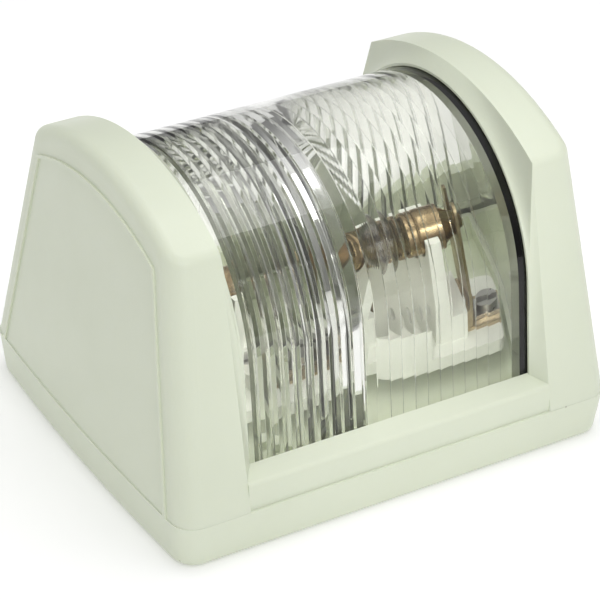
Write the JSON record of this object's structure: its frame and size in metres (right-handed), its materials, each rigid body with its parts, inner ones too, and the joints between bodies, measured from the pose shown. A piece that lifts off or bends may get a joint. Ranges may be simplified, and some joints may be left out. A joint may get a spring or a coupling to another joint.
{
  "type": "navigation light",
  "caption": "Compact boat navigation light: white tapered housing, clear ribbed lens that hinges up, tubular bulb in sprung contacts on a flat mounting base.",
  "frame": {"origin": "centre of the mounting face", "axes": "+Z out of the mounting face through the lens, +X along the lens and bulb axis towards the clamp-screw end"},
  "size_m": [0.084, 0.0694, 0.057],
  "materials": {
    "white_plastic": "satin",
    "clear_lens": "clear polycarbonate",
    "carrier_plastic": "matte",
    "contact_brass": "plain",
    "cap_brass": "bright",
    "steel": "stainless",
    "bulb_glass": "clear",
    "filament": "tungsten",
    "black_rubber": "matte",
    "foam_gasket": "closed-cell foam"
  },
  "bodies": {
    "base": {"mounting_base": "white_plastic", "back_gasket": "foam_gasket", "lens_seal": "black_rubber", "cable_grommet": "black_rubber", "clamp_nut": "steel", "bulb_carrier": "carrier_plastic", "carrier_screws": "steel", "terminal_strip_upper": "contact_brass", "terminal_strip_lower": "contact_brass", "wire_clamp_upper": "steel", "wire_clamp_lower": "steel"},
    "cover": {"cover": "white_plastic", "fresnel_lens": "clear_lens"},
    "clamp_screw": {"clamp_screw": "steel"},
    "bulb": {"bulb_glass": "bulb_glass", "bulb_filament": "filament", "bulb_cap_upper": "cap_brass", "bulb_cap_lower": "cap_brass"},
    "upper_contact": {"contact_blade_upper": "contact_brass", "contact_rivet_upper": "contact_brass"},
    "lower_contact": {"contact_blade_lower": "contact_brass", "contact_rivet_lower": "contact_brass"},
    "upper_terminal_screw": {"terminal_screw_upper": "steel"},
    "lower_terminal_screw": {"terminal_screw_lower": "steel"}
  },
  "joints": [
    {"name": "cover_tilt", "type": "hinge", "parent": "base", "child": "cover", "pos_m": [-0.0422, 0, 0.008], "axis": [0, -1, 0], "range_deg": [0, 40]},
    {"name": "clamp_screw_turn", "type": "hinge", "parent": "base", "child": "clamp_screw", "pos_m": [0.038, 0, 0.0046], "axis": [1, 0, 0], "continuous": true},
    {"name": "bulb_lift", "type": "slide", "parent": "base", "child": "bulb", "axis": [0, 0, 1], "range_m": [0, 0.006]},
    {"name": "upper_contact_flex", "type": "hinge", "parent": "base", "child": "upper_contact", "pos_m": [-0.01943, 0, 0.00905], "axis": [0, -1, 0], "range_deg": [0, 4], "stiffness_Nm_per_rad": 0.4},
    {"name": "lower_contact_flex", "type": "hinge", "parent": "base", "child": "lower_contact", "pos_m": [0.01943, 0, 0.00905], "axis": [0, 1, 0], "range_deg": [0, 4], "stiffness_Nm_per_rad": 0.4},
    {"name": "upper_terminal_screw_turn", "type": "hinge", "parent": "base", "child": "upper_terminal_screw", "pos_m": [-0.02233, 0, 0.009], "axis": [0, 0, 1], "continuous": true},
    {"name": "lower_terminal_screw_turn", "type": "hinge", "parent": "base", "child": "lower_terminal_screw", "pos_m": [0.02233, 0, 0.009], "axis": [0, 0, 1], "continuous": true}
  ]
}
